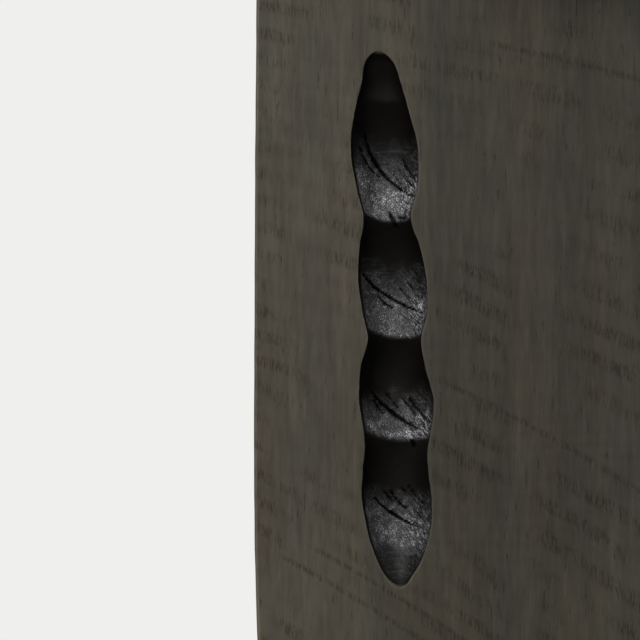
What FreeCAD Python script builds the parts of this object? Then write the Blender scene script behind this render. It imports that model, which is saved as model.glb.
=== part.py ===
"""A carved wooden headrest: a crescent cradle for the neck on one upright slab, on an arched foot board.

The slab's grain is vertical. Two stub tenons on its coped top enter the cradle and are held by drawbore pegs.
Two through tenons on its foot pass through the foot board and are spread by wedges driven from below.
Each broad face of the slab has two upright grooves, and each groove is a chain of overlapping gouge scoops.

Millimetres. X is the length, Y the depth, Z up. The origin is on the floor, under the foot board's middle.
"""

import FreeCAD
import Part
import Sketcher
import math
import os

# Alias, value and meaning of every driving dimension.
DIMENSIONS = [
    ("foot_length", 158, "foot board, end to end"),
    ("foot_depth", 88, "foot board, front to back, at its middle"),
    ("foot_end_depth", 80, "foot board, front to back, at its ends"),
    ("foot_end_bow", 3, "how far each end of the foot board bows out"),
    ("foot_crown", 20, "height of the foot board at its middle"),
    ("foot_end_height", 12, "height of the foot board at its ends"),
    ("foot_corner", 4, "rounding of the foot board's upright corners"),
    ("foot_round", 2, "rounding of the foot board's upper edges"),
    ("slab_depth", 36, "slab, front to back"),
    ("slab_low_width", 123.6, "slab's width at its bottom corners"),
    ("slab_full_width", 125.5, "slab's width where its bowed sides are furthest apart"),
    ("slab_high_width", 124.1, "slab's width at its top corners"),
    ("slab_full_height", 55, "height at which the slab is widest"),
    ("slab_edge_bevel", 0.7, "bevel on the slab's upright edges"),
    ("plank_extra", 10, "spare length at each end of a blank, trimmed off with its plan"),
    ("trim_margin", 20, "width of the waste that trimming a plan clears all round"),
    ("tenon_width", 26, "all four tenons, along the length"),
    ("tenon_depth", 14, "all four tenons, front to back"),
    ("tenon_offset", 34, "tenon's centre from the middle"),
    ("tenon_top", 161, "height of the upper tenons' ends"),
    ("tenon_root", 8, "how far the upper tenons start below the cradle's lowest point, inside the slab"),
    ("tenon_recess", 0.6, "how far the lower tenons' ends stay off the floor"),
    ("tenon_spread", 0.9, "how far wedging pushes out each side of a lower tenon's end"),
    ("glue_gap", 0.1, "gap for glue around tenons and under the cradle"),
    ("mortise_relief", 0.6, "empty depth above the upper tenons"),
    ("mortise_run_in", 2, "how far the blind mortises' outlines start below the cradle"),
    ("wedge_mouth", 3, "wedge's thickness at its driven end"),
    ("wedge_tip", 0.8, "wedge's thickness at its tip"),
    ("wedge_length", 13, "wedge's length"),
    ("wedge_offset", 5.5, "wedge's centre from its tenon's centre"),
    ("cradle_length", 196, "cradle, tip to tip"),
    ("cradle_depth", 84, "cradle, front to back, at its middle"),
    ("cradle_end_depth", 70, "cradle, front to back, at its tips"),
    ("cradle_end_bow", 3.5, "how far each tip bows out"),
    ("cradle_low", 143, "height of the cradle's underside at its middle"),
    ("cradle_seat", 168, "height of the neck's seat at its middle"),
    ("seat_radius", 170, "radius of the neck's seat"),
    ("cradle_under_radius", 129.2, "radius of the cradle's underside"),
    ("cradle_corner", 8, "rounding of the cradle's upright corners"),
    ("cradle_round", 3, "rounding of the cradle's upper edges"),
    ("cradle_low_round", 1.2, "rounding of the cradle's lower edges"),
    ("peg_diameter", 6, "drawbore peg"),
    ("peg_height", 154.5, "height of the pegs' axes"),
    ("peg_length", 83, "drawbore peg, end to end"),
    ("peg_chamfer", 0.6, "bevel at each end of a peg"),
    ("groove_offset", 37.7, "groove's middle from the slab's middle"),
    ("groove_height", 80.5, "height of a groove's middle"),
    ("scoop_lean", 4, "lean of each scoop, in degrees, its top outwards"),
]

# The chain of scoops of every groove, top to bottom: name, then its values in the order of SCOOP_MEASURES.
SCOOP_VALUES = [
    ("runout", -1.7, 40.5, 8.1, 3.9, 3.4),
    ("upper", -1.1, 29.2, 14.4, 6.1, 7),
    ("second", 0.3, 6.3, 15.8, 6.3, 7),
    ("third", 0.9, -14.4, 15.8, 6.7, 7.2),
    ("lowest", 1.1, -31.9, 15.6, 6.2, 7),
]
SCOOP_MEASURES = [
    ("inward", "centre, inwards from the groove's middle"),
    ("rise", "centre, upwards from the groove's middle"),
    ("half_length", "half its length on the face"),
    ("half_width", "half its width on the face"),
    ("deep", "depth"),
]
SCOOPS = [values[0] for values in SCOOP_VALUES]
for scoop, *values in SCOOP_VALUES:
    for (measure, meaning), value in zip(SCOOP_MEASURES, values):
        DIMENSIONS.append((f"{scoop}_{measure}", value, f"{scoop} scoop: {meaning}"))

SIDES = [("left", -1), ("right", 1)]
FACES = [("front", -1), ("back", 1)]


class Size:
    """A length that knows both its value and the spreadsheet expression that gives it."""

    def __init__(self, value, text):
        self.value = value
        self.text = text

    @staticmethod
    def of(other):
        return other if isinstance(other, Size) else Size(other, repr(other))

    def __add__(self, other):
        other = Size.of(other)
        return Size(self.value + other.value, f"({self.text} + {other.text})")

    def __sub__(self, other):
        other = Size.of(other)
        return Size(self.value - other.value, f"({self.text} - {other.text})")

    def __mul__(self, other):
        other = Size.of(other)
        return Size(self.value * other.value, f"({self.text} * {other.text})")

    def __truediv__(self, other):
        other = Size.of(other)
        return Size(self.value / other.value, f"({self.text} / {other.text})")

    def __neg__(self):
        return Size(-self.value, f"(-1 * {self.text})")

    def root(self):
        return Size(math.sqrt(self.value), f"sqrt({self.text})")


def make_sheet(doc):
    """The spreadsheet of driving dimensions, one row each: name, value, meaning."""
    sheet = doc.addObject("Spreadsheet::Sheet", "Dimensions")
    for row, (alias, value, meaning) in enumerate(DIMENSIONS, start=1):
        sheet.set(f"A{row}", alias)
        sheet.set(f"B{row}", str(value))
        sheet.set(f"C{row}", meaning)
        sheet.setAlias(f"B{row}", alias)
    doc.recompute()
    return sheet


def size(alias):
    """The driving dimension of that name, as a Size."""
    return Size(float(SHEET.get(alias)), f"Dimensions.{alias}")


def chord_drop(radius, half_chord):
    """How far an arc of that radius falls from its middle to the ends of its chord."""
    return radius - (radius * radius - half_chord * half_chord).root()


def arc_radius(half_chord, rise):
    """Radius of the arc that rises so far over so wide a chord."""
    return (half_chord * half_chord + rise * rise) / (rise * 2)


def side_radius(inset, height):
    """Radius of the arc that runs straight up at one end and is inset so far at the other, so high."""
    return (height * height + inset * inset) / (inset * 2)


def new_body(doc, label):
    body = doc.addObject("PartDesign::Body", label)
    body.Label = label
    return body


def sketch_on(body, plane_role, name):
    """An empty sketch on one of the body's own origin planes."""
    sketch = body.newObject("Sketcher::SketchObject", name)
    plane = next(f for f in body.Origin.OriginFeatures if f.Role == plane_role)
    sketch.AttachmentSupport = [(plane, "")]
    sketch.MapMode = "FlatFace"
    return sketch


def vector(point):
    return FreeCAD.Vector(point[0].value, point[1].value, 0)


def bind(sketch, constraint, wanted):
    """Adds a constraint whose last argument is the Size that drives it."""
    index = sketch.addConstraint(Sketcher.Constraint(*constraint, wanted.value))
    sketch.setExpression(f"Constraints[{index}]", wanted.text)


def pin_point(sketch, geometry, end, point):
    """Fixes one end of a line or arc at a place measured from the sketch's origin."""
    bind(sketch, ("DistanceX", -1, 1, geometry, end), point[0])
    bind(sketch, ("DistanceY", -1, 1, geometry, end), point[1])


def outline(sketch, corners):
    """Draws a closed outline through the corners.

    Each corner is (x, y) or (x, y, radius, middle). A radius makes the stretch to the next corner an arc, and
    middle is a point near the middle of that arc, as (x, y).
    """
    for i, corner in enumerate(corners):
        start, end = corner[:2], corners[(i + 1) % len(corners)][:2]
        if len(corner) == 2:
            index = sketch.addGeometry(Part.LineSegment(vector(start), vector(end)))
            pin_point(sketch, index, 1, start)
            pin_point(sketch, index, 2, end)
            continue
        index = sketch.addGeometry(Part.Arc(vector(start), vector(corner[3]), vector(end)))
        # A sketched arc always runs anticlockwise, so its first end may be the outline's later corner.
        ends = (1, 2) if (sketch.getPoint(index, 1) - vector(start)).Length < 1e-3 else (2, 1)
        pin_point(sketch, index, ends[0], start)
        pin_point(sketch, index, ends[1], end)
        bind(sketch, ("Radius", index), corner[2])


def rectangle(sketch, centre_x, low_y, high_y, low_width, high_width):
    """Draws a closed four-sided outline, symmetric about x = centre_x."""
    outline(
        sketch,
        [
            (centre_x - low_width / 2, low_y),
            (centre_x + low_width / 2, low_y),
            (centre_x + high_width / 2, high_y),
            (centre_x - high_width / 2, high_y),
        ],
    )


def pad_both_ways(body, sketch, length, name):
    """Pads the sketch by half the length on each side of its plane."""
    pad = body.newObject("PartDesign::Pad", name)
    pad.Profile = sketch
    pad.SideType = "Symmetric"
    pad.setExpression("Length", length.text)
    return pad


def pocket_both_ways(body, sketch, length, name):
    """Cuts the sketch's outline away by half the length on each side of its plane."""
    pocket = body.newObject("PartDesign::Pocket", name)
    pocket.Profile = sketch
    pocket.SideType = "Symmetric"
    pocket.setExpression("Length", length.text)
    return pocket


def trim_plan(body, length, depth, end_depth, end_bow, height, name):
    """Cuts away everything outside a plan outline with bowed long sides and bowed ends."""
    margin = size("trim_margin")
    far_x, far_y = length / 2 + margin, depth / 2 + margin
    half_length, half_end = length / 2 - end_bow, end_depth / 2
    long_radius = arc_radius(half_length, (depth - end_depth) / 2)
    end_radius = arc_radius(half_end, end_bow)
    zero = Size.of(0.0)
    sketch = sketch_on(body, "XY_Plane", name + "_outline")
    outline(sketch, [(-far_x, -far_y), (far_x, -far_y), (far_x, far_y), (-far_x, far_y)])
    outline(
        sketch,
        [
            (-half_length, -half_end, long_radius, (zero, -depth / 2)),
            (half_length, -half_end, end_radius, (length / 2, zero)),
            (half_length, half_end, long_radius, (zero, depth / 2)),
            (-half_length, half_end, end_radius, (-length / 2, zero)),
        ],
    )
    pocket_both_ways(body, sketch, height * 2, name)


def dress_edges(doc, body, kind, amount, wanted, name):
    """Rounds (Fillet) or bevels (Chamfer) the edges of the body so far for which wanted(edge) is true."""
    doc.recompute()
    base = body.Tip
    names = [f"Edge{i}" for i, edge in enumerate(base.Shape.Edges, start=1) if wanted(edge)]
    feature = body.newObject(f"PartDesign::{kind}", name)
    feature.Base = (base, names)
    feature.setExpression("Radius" if kind == "Fillet" else "Size", amount.text)
    doc.recompute()


def is_upright(edge):
    """True for an edge that runs straight up."""
    return edge.BoundBox.XLength < 0.01 and edge.BoundBox.YLength < 0.01


def is_side_edge(edge):
    """True for an edge that bounds one of the slab's bowed sides."""
    return edge.BoundBox.ZLength > edge.BoundBox.XLength


def is_end_circle(edge):
    """True for the circle at either end of a rod that lies along Y."""
    return edge.BoundBox.YLength < 0.01


def on_arch(radius, axis_height):
    """A test for edges on the cylinder of that radius about a level axis, along Y, at that height."""

    def test(edge):
        middle = edge.valueAt((edge.FirstParameter + edge.LastParameter) / 2)
        return abs(math.hypot(middle.x, middle.z - axis_height.value) - radius.value) < 0.01

    return test


def make_foot_board(doc):
    """The arched board that stands on the floor, with two flared mortises right through it."""
    body = new_body(doc, "foot_board")
    crown, recess = size("foot_crown"), size("tenon_recess")
    half = size("foot_length") / 2 + size("plank_extra")
    end_height = crown - chord_drop(FOOT_RADIUS, half)
    zero = Size.of(0.0)
    profile = sketch_on(body, "XZ_Plane", "foot_profile")
    outline(
        profile,
        [
            (-half, zero),
            (half, zero),
            (half, end_height, FOOT_RADIUS, (zero, crown)),
            (-half, end_height),
        ],
    )
    pad_both_ways(body, profile, size("foot_depth"), "foot_plank")
    trim_plan(
        body,
        size("foot_length"),
        size("foot_depth"),
        size("foot_end_depth"),
        size("foot_end_bow"),
        crown,
        "foot_plan",
    )
    dress_edges(doc, body, "Fillet", size("foot_corner"), is_upright, "foot_corners")
    arch = on_arch(FOOT_RADIUS, crown - FOOT_RADIUS)
    dress_edges(doc, body, "Fillet", size("foot_round"), arch, "foot_upper_edges")
    gap = size("glue_gap")
    for side, sign in SIDES:
        mortise = sketch_on(body, "XZ_Plane", f"foot_mortise_{side}_outline")
        rectangle(
            mortise,
            size("tenon_offset") * sign,
            -recess,
            crown + recess,
            size("tenon_width") + (size("tenon_spread") + gap) * 2,
            size("tenon_width") + gap * 2,
        )
        pocket_both_ways(body, mortise, size("tenon_depth") + gap * 2, f"foot_mortise_{side}")
    return body


def make_support_slab(doc):
    """The upright slab with its four tenons, peg holes, wedge kerfs and carved grooves."""
    body = new_body(doc, "support_slab")
    zero, gap = Size.of(0.0), size("glue_gap")
    crown, cope = size("foot_crown"), size("cradle_low") - gap
    cope_radius = size("cradle_under_radius")
    low_half, high_half = size("slab_low_width") / 2, size("slab_high_width") / 2
    full_half, full_height = size("slab_full_width") / 2, size("slab_full_height")
    low_corner = crown - chord_drop(FOOT_RADIUS, low_half)
    high_corner = cope + chord_drop(cope_radius, high_half)
    low_bow = side_radius(full_half - low_half, full_height - low_corner)
    high_bow = side_radius(full_half - high_half, high_corner - full_height)
    low_middle = (full_half - (full_half - low_half) / 4, (low_corner + full_height) / 2)
    high_middle = (full_half - (full_half - high_half) / 4, (high_corner + full_height) / 2)
    profile = sketch_on(body, "XZ_Plane", "slab_profile")
    outline(
        profile,
        [
            (-low_half, low_corner, FOOT_RADIUS, (zero, crown)),
            (low_half, low_corner, low_bow, low_middle),
            (full_half, full_height, high_bow, high_middle),
            (high_half, high_corner, cope_radius, (zero, cope)),
            (-high_half, high_corner, high_bow, (-high_middle[0], high_middle[1])),
            (-full_half, full_height, low_bow, (-low_middle[0], low_middle[1])),
        ],
    )
    pad_both_ways(body, profile, size("slab_depth"), "slab_plank")
    dress_edges(doc, body, "Chamfer", size("slab_edge_bevel"), is_side_edge, "slab_edges")
    for side, sign in SIDES:
        add_tenons(body, side, sign)
    for face, facing in FACES:
        for side, sign in SIDES:
            for scoop in SCOOPS:
                cut_scoop(body, scoop, sign, facing, f"{scoop}_scoop_{face}_{side}")
    return body


def add_tenons(body, side, sign):
    """One upper tenon with its peg hole, and one lower tenon with its two wedge kerfs."""
    centre = size("tenon_offset") * sign
    width, depth = size("tenon_width"), size("tenon_depth")
    root = size("cradle_low") - size("tenon_root")
    upper = sketch_on(body, "XZ_Plane", f"upper_tenon_{side}_outline")
    rectangle(upper, centre, root, size("tenon_top"), width, width)
    pad_both_ways(body, upper, depth, f"upper_tenon_{side}")
    hole = sketch_on(body, "XZ_Plane", f"peg_hole_{side}_outline")
    peg_hole(hole, centre)
    pocket_both_ways(body, hole, depth * 2, f"peg_hole_{side}")
    lower = sketch_on(body, "XZ_Plane", f"lower_tenon_{side}_outline")
    recess, crown = size("tenon_recess"), size("foot_crown")
    spread_width = width + size("tenon_spread") * 2
    rectangle(lower, centre, recess, crown + recess, spread_width, width)
    pad_both_ways(body, lower, depth, f"lower_tenon_{side}")
    for kerf_side, kerf_sign in SIDES:
        kerf = sketch_on(body, "XZ_Plane", f"kerf_{side}_{kerf_side}_outline")
        wedge_outline(kerf, centre + size("wedge_offset") * kerf_sign)
        pocket_both_ways(body, kerf, depth * 2, f"kerf_{side}_{kerf_side}")


def peg_hole(sketch, centre):
    """Draws a peg's circle with its glue gap."""
    radius = size("peg_diameter") / 2
    place = (centre, size("peg_height"))
    circle = Part.Circle(vector(place), FreeCAD.Vector(0, 0, 1), radius.value)
    index = sketch.addGeometry(circle)
    pin_point(sketch, index, 3, place)
    bind(sketch, ("Radius", index), radius)


def wedge_outline(sketch, centre):
    """Draws a wedge on edge, its thick end at the lower tenons' ends."""
    low = size("tenon_recess")
    rectangle(
        sketch, centre, low, low + size("wedge_length"), size("wedge_mouth"), size("wedge_tip")
    )


def cut_scoop(body, scoop, sign, facing, name):
    """Cuts one gouge scoop with a ring that dips into the slab's face.

    The ring's axis is level, so its rim sweeps the scoop's length and its tube gives the scoop's width.
    Both radii come from the scoop's half length, half width and depth.
    """
    deep = size(f"{scoop}_deep")
    sweep = arc_radius(size(f"{scoop}_half_length"), deep)
    tube = arc_radius(size(f"{scoop}_half_width"), deep)
    ring = body.newObject("PartDesign::SubtractiveTorus", name)
    ring.setExpression("Radius1", (sweep - tube).text)
    ring.setExpression("Radius2", tube.text)
    across = (size("groove_offset") - size(f"{scoop}_inward")) * sign
    outwards = (size("slab_depth") / 2 + sweep - deep) * facing
    height = size("groove_height") + size(f"{scoop}_rise")
    lean = size("scoop_lean") * sign
    ring.Placement = FreeCAD.Placement(
        FreeCAD.Vector(across.value, outwards.value, height.value),
        FreeCAD.Rotation(FreeCAD.Vector(0, 1, 0), 90 + lean.value),
    )
    ring.setExpression("Placement.Base.x", across.text)
    ring.setExpression("Placement.Base.y", outwards.text)
    ring.setExpression("Placement.Base.z", height.text)
    ring.setExpression("Placement.Rotation.Angle", f"(90 + {lean.text}) * 1deg")


def make_neck_cradle(doc):
    """The crescent that holds the neck, with two blind mortises in its underside and two peg holes."""
    body = new_body(doc, "neck_cradle")
    half = size("cradle_length") / 2 + size("plank_extra")
    zero = Size.of(0.0)
    seat, low = size("cradle_seat"), size("cradle_low")
    seat_radius, under_radius = size("seat_radius"), size("cradle_under_radius")
    tip_top = seat + chord_drop(seat_radius, half)
    tip_low = low + chord_drop(under_radius, half)
    profile = sketch_on(body, "XZ_Plane", "cradle_profile")
    outline(
        profile,
        [
            (-half, tip_low, under_radius, (zero, low)),
            (half, tip_low),
            (half, tip_top, seat_radius, (zero, seat)),
            (-half, tip_top),
        ],
    )
    pad_both_ways(body, profile, size("cradle_depth"), "cradle_blank")
    trim_plan(
        body,
        size("cradle_length"),
        size("cradle_depth"),
        size("cradle_end_depth"),
        size("cradle_end_bow"),
        tip_top,
        "cradle_plan",
    )
    dress_edges(doc, body, "Fillet", size("cradle_corner"), is_upright, "cradle_corners")
    upper = on_arch(seat_radius, seat + seat_radius)
    dress_edges(doc, body, "Fillet", size("cradle_round"), upper, "cradle_upper_edges")
    lower = on_arch(under_radius, low + under_radius)
    dress_edges(doc, body, "Fillet", size("cradle_low_round"), lower, "cradle_lower_edges")
    width, depth = size("tenon_width") + size("glue_gap") * 2, size("tenon_depth") + size("glue_gap") * 2
    top = size("tenon_top") + size("mortise_relief")
    for side, sign in SIDES:
        centre = size("tenon_offset") * sign
        mortise = sketch_on(body, "XZ_Plane", f"cradle_mortise_{side}_outline")
        rectangle(mortise, centre, low - size("mortise_run_in"), top, width, width)
        pocket_both_ways(body, mortise, depth, f"cradle_mortise_{side}")
        hole = sketch_on(body, "XZ_Plane", f"cradle_peg_hole_{side}_outline")
        peg_hole(hole, centre)
        pocket_both_ways(body, hole, size("cradle_depth") * 2, f"cradle_peg_hole_{side}")
    return body


def make_peg(doc, side, sign):
    """A drawbore peg, right through the cradle and an upper tenon, trimmed just proud at both ends."""
    body = new_body(doc, f"drawbore_peg_{side}")
    radius = size("peg_diameter") / 2
    sketch = sketch_on(body, "XZ_Plane", f"peg_{side}_outline")
    circle = Part.Circle(FreeCAD.Vector(0, 0, 0), FreeCAD.Vector(0, 0, 1), radius.value)
    index = sketch.addGeometry(circle)
    sketch.addConstraint(Sketcher.Constraint("Coincident", index, 3, -1, 1))
    bind(sketch, ("Radius", index), radius)
    pad_both_ways(body, sketch, size("peg_length"), f"peg_{side}_rod")
    dress_edges(doc, body, "Chamfer", size("peg_chamfer"), is_end_circle, f"peg_{side}_bevels")
    body.setExpression("Placement.Base.x", (size("tenon_offset") * sign).text)
    body.setExpression("Placement.Base.z", size("peg_height").text)
    return body


def make_wedge(doc, side, sign, kerf_side, kerf_sign):
    """A hardwood wedge that fills one kerf of a lower tenon."""
    body = new_body(doc, f"tenon_wedge_{side}_{kerf_side}")
    sketch = sketch_on(body, "XZ_Plane", f"wedge_{side}_{kerf_side}_outline")
    wedge_outline(sketch, Size.of(0.0))
    pad_both_ways(body, sketch, size("tenon_depth"), f"wedge_{side}_{kerf_side}_blank")
    place = size("tenon_offset") * sign + size("wedge_offset") * kerf_sign
    body.setExpression("Placement.Base.x", place.text)
    return body


def check(doc, bodies):
    """Stops the build if any object failed or any sub-part isn't one valid closed solid."""
    failed = [o.Name for o in doc.Objects if "Invalid" in o.State or "Error" in o.State]
    if failed:
        raise RuntimeError(f"these objects failed to recompute: {failed}")
    for body in bodies:
        shape = body.Shape
        if shape.isNull() or not shape.isValid() or len(shape.Solids) != 1:
            raise RuntimeError(f"{body.Label} is not one valid solid")


def main():
    doc = SHEET.Document
    bodies = [make_foot_board(doc), make_support_slab(doc), make_neck_cradle(doc)]
    for side, sign in SIDES:
        bodies.append(make_peg(doc, side, sign))
        for kerf_side, kerf_sign in [("outer", sign), ("inner", -sign)]:
            bodies.append(make_wedge(doc, side, sign, kerf_side, kerf_sign))
    doc.recompute()
    check(doc, bodies)
    os.makedirs("parts", exist_ok=True)
    for body in bodies:
        body.Shape.exportStep(f"parts/{body.Label}.step")
        print(body.Label, round(body.Shape.Volume / 1000, 2), "cm3", body.Shape.BoundBox)


SHEET = make_sheet(FreeCAD.newDocument("headrest"))
FOOT_RADIUS = arc_radius(size("foot_length") / 2, size("foot_crown") - size("foot_end_height"))
main()
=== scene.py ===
"""The look of a carved wooden headrest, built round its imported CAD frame.

The slab, cradle, foot board and pegs get detailed meshes that stand for their CAD nodes. The wedges keep
theirs. Shapes are worked out in millimetres, in the frame's own axes, and MM turns them into metres.
"""

import itertools
import math

import bpy
import numpy as np
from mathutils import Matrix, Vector


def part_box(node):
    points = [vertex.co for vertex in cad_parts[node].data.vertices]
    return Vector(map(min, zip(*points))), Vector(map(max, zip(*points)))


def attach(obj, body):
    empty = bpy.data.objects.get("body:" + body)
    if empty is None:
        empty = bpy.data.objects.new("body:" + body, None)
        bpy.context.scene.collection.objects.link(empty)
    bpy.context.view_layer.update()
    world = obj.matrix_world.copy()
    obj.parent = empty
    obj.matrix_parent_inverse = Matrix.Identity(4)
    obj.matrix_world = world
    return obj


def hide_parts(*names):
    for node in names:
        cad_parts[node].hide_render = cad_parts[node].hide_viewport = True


MM = 0.001
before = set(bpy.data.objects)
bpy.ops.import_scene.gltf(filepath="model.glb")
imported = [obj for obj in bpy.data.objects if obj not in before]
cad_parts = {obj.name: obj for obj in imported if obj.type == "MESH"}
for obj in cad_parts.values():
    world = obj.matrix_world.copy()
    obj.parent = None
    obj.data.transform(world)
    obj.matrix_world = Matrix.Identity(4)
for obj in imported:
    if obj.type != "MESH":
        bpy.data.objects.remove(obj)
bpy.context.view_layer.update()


def node_box(node):
    """The CAD node's lowest and highest corners, in millimetres."""
    low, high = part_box(node)
    return np.array(low) / MM, np.array(high) / MM


SLAB_LOW, SLAB_HIGH = node_box("support_slab")
FOOT_LOW, FOOT_HIGH = node_box("foot_board")
CRADLE_LOW, CRADLE_HIGH = node_box("neck_cradle")

# The same dimensions as the CAD's, where a box can't give them.
FOOT_CROWN, FOOT_END_HEIGHT, FOOT_END_BOW, FOOT_END_DEPTH = 20.0, 12.0, 3.0, 80.0
FOOT_CORNER, FOOT_ROUND = 4.0, 2.4
CRADLE_SEAT, SEAT_RADIUS, CRADLE_UNDER, UNDER_RADIUS = 168.0, 170.0, 143.0, 129.2
CRADLE_END_BOW, CRADLE_END_DEPTH, CRADLE_CORNER = 3.5, 70.0, 8.0
CRADLE_ROUND, CRADLE_LOW_ROUND = 3.6, 1.6
SLAB_LOW_HALF, SLAB_FULL_HALF, SLAB_HIGH_HALF, SLAB_FULL_HEIGHT = 61.8, 62.75, 62.05, 55.0
SLAB_EDGE, GLUE_GAP = 0.7, 0.1
TENON_OFFSET, TENON_WIDTH, TENON_DEPTH, TENON_RECESS, TENON_SPREAD = 34.0, 26.0, 14.0, 0.6, 0.9
WEDGE_MOUTH, WEDGE_TIP, WEDGE_LENGTH, WEDGE_OFFSET = 3.0, 0.8, 13.0, 5.5
PEG_RADIUS, PEG_HEIGHT, PEG_BEVEL = 3.0, 154.5, 0.6
GROOVE_OFFSET, GROOVE_HEIGHT = 37.7, 80.5
GROOVE_TOP, GROOVE_BOTTOM, SIDE_COLUMNS = 130.7, 30.2, 9
MORTISE_ROOF = 3.0

# Saw marks on the slab: their slope at the bottom, how much less it is per millimetre up, their pitch, and
# the x at which their heights are given.
SAW_SLOPE, SAW_EASE, SAW_PITCH, SAW_START = 0.74, 0.0042, 5.4, -40.0

# A groove's outline, top to bottom: height above the groove's middle, how far its centre line is inwards, and
# half width.
GROOVE_OUTLINE = [
    (48.4, -2.6, 0.0),
    (46.2, -2.35, 2.6),
    (42.0, -2.0, 3.7),
    (37.0, -1.9, 5.05),
    (30.5, -1.5, 6.05),
    (24.0, -1.05, 5.5),
    (18.4, -0.95, 4.3),
    (13.0, -0.5, 5.45),
    (6.5, 0.05, 6.2),
    (1.0, 0.4, 5.75),
    (-3.2, 0.3, 4.85),
    (-8.5, 0.05, 5.85),
    (-14.8, 0.66, 6.72),
    (-20.0, 0.8, 6.05),
    (-22.8, 0.7, 5.72),
    (-27.0, 0.52, 5.88),
    (-32.5, 0.8, 6.25),
    (-38.0, 1.15, 5.65),
    (-43.0, 1.28, 4.1),
    (-46.4, 1.17, 2.2),
    (-48.4, 1.3, 0.0),
]

# Each scoop of a groove: height, half length and depth, then the heights where torn wood starts and is at its
# worst. The torn wood's grey is partly painted light on the lower part of each scoop.
SCOOPS = [
    (41.5, 8.9, 3.6, -20.0, -40.0),
    (29.8, 14.4, 7.2, 35.2, 22.5),
    (7.7, 14.9, 7.4, 12.6, 1.0),
    (-11.5, 14.3, 7.6, -10.6, -20.4),
    (-30.4, 17.3, 7.3, -28.6, -37.0),
]
CREST_DIP, CREST_TILT = 1.2, 0.6

# How softly neighbouring scoops meet, and how square the groove's section is (0.5 would be an ellipse).
CREST_BLUNTNESS, SECTION_POWER = 0.16, 0.42

# Which way the wood tears inside a groove, about 50 degrees below level: how much inwards and how much down.
TEAR_INWARD, TEAR_DOWN = 0.64, 0.77

# Painted highlights: patches of lifted fibres made lighter in colour where they would catch the light:
# (inwards, up) from the groove's middle, reach across and up, and strength.
PAINTED_GLINTS = [
    (1.8, 21.4, 4.2, 1.4, 1.3),
    (-5.9, 26.4, 1.2, 3.2, 1.4),
    (3.8, 24.2, 1.8, 1.4, 1.2),
    (-3.4, 19.6, 1.6, 1.0, 0.7),
    (5.2, 2.6, 1.4, 2.4, 1.0),
    (-5.2, 7.4, 0.9, 1.0, 0.7),
    (-4.2, -18.8, 1.8, 0.8, 0.9),
    (2.4, -20.2, 3.6, 0.9, 0.9),
    (5.6, -17.6, 1.2, 2.0, 1.0),
    (-4.4, -34.4, 1.2, 2.0, 0.7),
    (1.8, -38.2, 3.6, 1.1, 0.35),
]

# The deepest saw marks: how high each runs at SAW_START, and where along x it starts to show.
SAW_LINES = [(74.4, -29.0), (32.5, -52.0), (27.6, -58.0), (134.0, -20.0)]

# Tears in the wood, left by the gouge: (inwards, up) of the start, bend and end from the groove's middle,
# then width and depth.
TEARS = [
    ((-4.8, 33.4), (-4.2, 26.6), (4.5, 21.8), 0.27, 1.2),
    ((-5.8, 31.4), (-5.0, 27.6), (-2.2, 25.8), 0.19, 0.7),
    ((-3.4, 29.4), (-2.6, 27.4), (-0.8, 25.6), 0.14, 0.5),
    ((2.0, 28.9), (2.8, 26.8), (4.6, 24.6), 0.16, 0.6),
    ((1.2, 27.3), (2.2, 25.6), (3.8, 24.0), 0.14, 0.6),
    ((0.2, 26.6), (1.2, 24.8), (2.6, 23.4), 0.12, 0.4),
    ((-0.4, 19.2), (0.1, 18.0), (0.9, 16.6), 0.36, 1.2),
    ((1.0, 18.6), (1.8, 18.2), (3.4, 18.3), 0.2, 0.6),
    ((-5.6, 8.8), (-3.6, 4.8), (5.4, 1.2), 0.21, 1.1),
    ((-3.0, 4.9), (-1.4, 2.6), (0.2, 2.2), 0.15, 0.6),
    ((4.0, 6.6), (4.9, 5.0), (6.0, 4.2), 0.16, 0.6),
    ((2.8, 7.0), (3.6, 5.4), (5.0, 3.6), 0.14, 0.4),
    ((1.4, 5.8), (2.4, 4.4), (4.0, 2.8), 0.12, 0.4),
    ((-3.8, -13.0), (-1.4, -16.4), (4.6, -19.8), 0.29, 1.2),
    ((-3.4, -14.4), (-2.6, -16.2), (-1.6, -17.0), 0.22, 0.7),
    ((-1.0, -13.4), (0.4, -15.0), (1.4, -16.4), 0.14, 0.5),
    ((3.2, -14.2), (4.6, -16.6), (6.8, -18.6), 0.22, 0.9),
    ((1.6, -13.6), (2.8, -15.4), (4.2, -17.4), 0.14, 0.5),
    ((3.4, -21.6), (3.8, -22.2), (4.0, -23.0), 0.26, 0.8),
    ((-3.2, -32.2), (-0.8, -35.2), (4.2, -37.4), 0.22, 1.0),
    ((-0.2, -31.0), (1.0, -33.4), (2.7, -34.2), 0.22, 0.8),
    ((-1.6, -30.8), (-0.6, -32.4), (0.6, -33.4), 0.14, 0.5),
    ((3.0, -30.2), (4.2, -32.0), (6.0, -33.6), 0.18, 0.7),
    ((1.6, -30.4), (2.6, -31.6), (3.8, -32.8), 0.13, 0.5),
    ((4.6, -35.0), (5.2, -36.0), (6.2, -36.6), 0.15, 0.6),
]


# Randomness and smooth fields, all repeatable.


def lattice_random(cells, seed):
    """A repeatable number from 0 to 1 for each whole-number point."""
    x, y, z = (cells[..., i].astype(np.uint64) for i in range(3))
    mixed = x * np.uint64(0x9E3779B1) ^ y * np.uint64(0x85EBCA77) ^ z * np.uint64(0xC2B2AE3D)
    mixed ^= np.uint64(seed * 0x27D4EB2F + 0x165667B1)
    mixed = (mixed ^ (mixed >> np.uint64(15))) * np.uint64(0x2C1B3C6D) & np.uint64(0xFFFFFFFF)
    mixed = (mixed ^ (mixed >> np.uint64(12))) * np.uint64(0x297A2D39) & np.uint64(0xFFFFFFFF)
    return (mixed ^ (mixed >> np.uint64(15))) / float(0xFFFFFFFF)


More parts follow.
